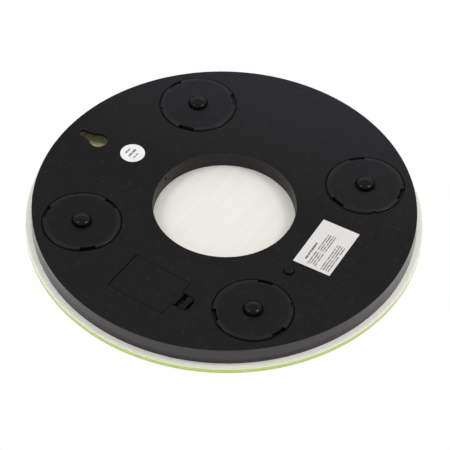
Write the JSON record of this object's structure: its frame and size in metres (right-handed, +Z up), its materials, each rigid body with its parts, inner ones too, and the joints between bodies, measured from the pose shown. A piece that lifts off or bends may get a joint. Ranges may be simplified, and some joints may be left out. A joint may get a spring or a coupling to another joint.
{
  "type": "digital bathroom scale",
  "caption": "Round glass bathroom scale on an annular plastic base with floating foot discs over load cells, a battery door, a unit button and a hanging slot.",
  "frame": {"origin": "on the floor under the middle of the glass, at the bottom centre of the scale's box", "axes": "+Z up through the glass, -Y towards the display end, +X towards the battery bay, +Y towards the hanging slot"},
  "size_m": [0.33, 0.33, 0.0255],
  "materials": {
    "glass": "clear tempered glass, polished rim",
    "white_print": "screen print behind glass",
    "lime_print": "screen print behind glass",
    "black_abs": "fine spark texture",
    "foot_abs": "fine spark texture",
    "foam_tape": "matte foam",
    "cell_steel": "stamped and plated",
    "pad_rubber": "smooth, slightly glossy",
    "cell_jacket": "plain printed sleeve",
    "contact_steel": "nickel plated",
    "board_laminate": "solder mask",
    "dark_plastic": "moulded",
    "strip_rubber": "silicone",
    "lcd_glass": "polarised panel",
    "white_plastic": "moulded",
    "wire_jacket": "smooth insulation",
    "label_film": "printed film"
  },
  "bodies": {
    "platform": {"glass_platter": "glass", "print_centre": "white_print", "print_ring": "lime_print", "print_rim": "white_print", "base_cover": "black_abs", "outer_tape": "foam_tape", "inner_tape": "foam_tape", "cell_rear_right": "cell_steel", "cell_rear_left": "cell_steel", "cell_front_left": "cell_steel", "cell_front_right": "cell_steel", "battery_cells": "cell_jacket", "battery_springs": "contact_steel", "battery_plates": "contact_steel", "circuit_board": "board_laminate", "board_screws": "contact_steel", "chip_cap": "dark_plastic", "contact_strip": "strip_rubber", "lcd_panel": "lcd_glass", "lcd_frame": "white_plastic", "lcd_backlight": "white_plastic", "tact_switch": "dark_plastic", "wire_loom": "wire_jacket", "rating_label": "label_film", "round_sticker": "label_film"},
    "foot_rear_right": {"disc_rear_right": "foot_abs", "pad_rear_right": "pad_rubber"},
    "foot_rear_left": {"disc_rear_left": "foot_abs", "pad_rear_left": "pad_rubber"},
    "foot_front_left": {"disc_front_left": "foot_abs", "pad_front_left": "pad_rubber"},
    "foot_front_right": {"disc_front_right": "foot_abs", "pad_front_right": "pad_rubber"},
    "door": {"battery_door": "black_abs", "door_foam": "foam_tape"},
    "button": {"unit_button": "foot_abs", "switch_plunger": "white_plastic"}
  },
  "joints": [
    {"name": "foot_rear_right_float", "type": "slide", "parent": "platform", "child": "foot_rear_right", "axis": [0, 0, -1], "range_m": [0, 0.0008]},
    {"name": "foot_rear_left_float", "type": "slide", "parent": "platform", "child": "foot_rear_left", "axis": [0, 0, -1], "range_m": [0, 0.0008]},
    {"name": "foot_front_left_float", "type": "slide", "parent": "platform", "child": "foot_front_left", "axis": [0, 0, -1], "range_m": [0, 0.0008]},
    {"name": "foot_front_right_float", "type": "slide", "parent": "platform", "child": "foot_front_right", "axis": [0, 0, -1], "range_m": [0, 0.0008]},
    {"name": "door_swing", "type": "hinge", "parent": "platform", "child": "door", "pos_m": [0.1085, 0.02585, 0.0036], "axis": [1, 0, 0], "range_deg": [0, 75]},
    {"name": "button_press", "type": "slide", "parent": "platform", "child": "button", "axis": [0, 0, 1], "range_m": [0, 0.0008], "stiffness_N_per_m": 1500}
  ]
}
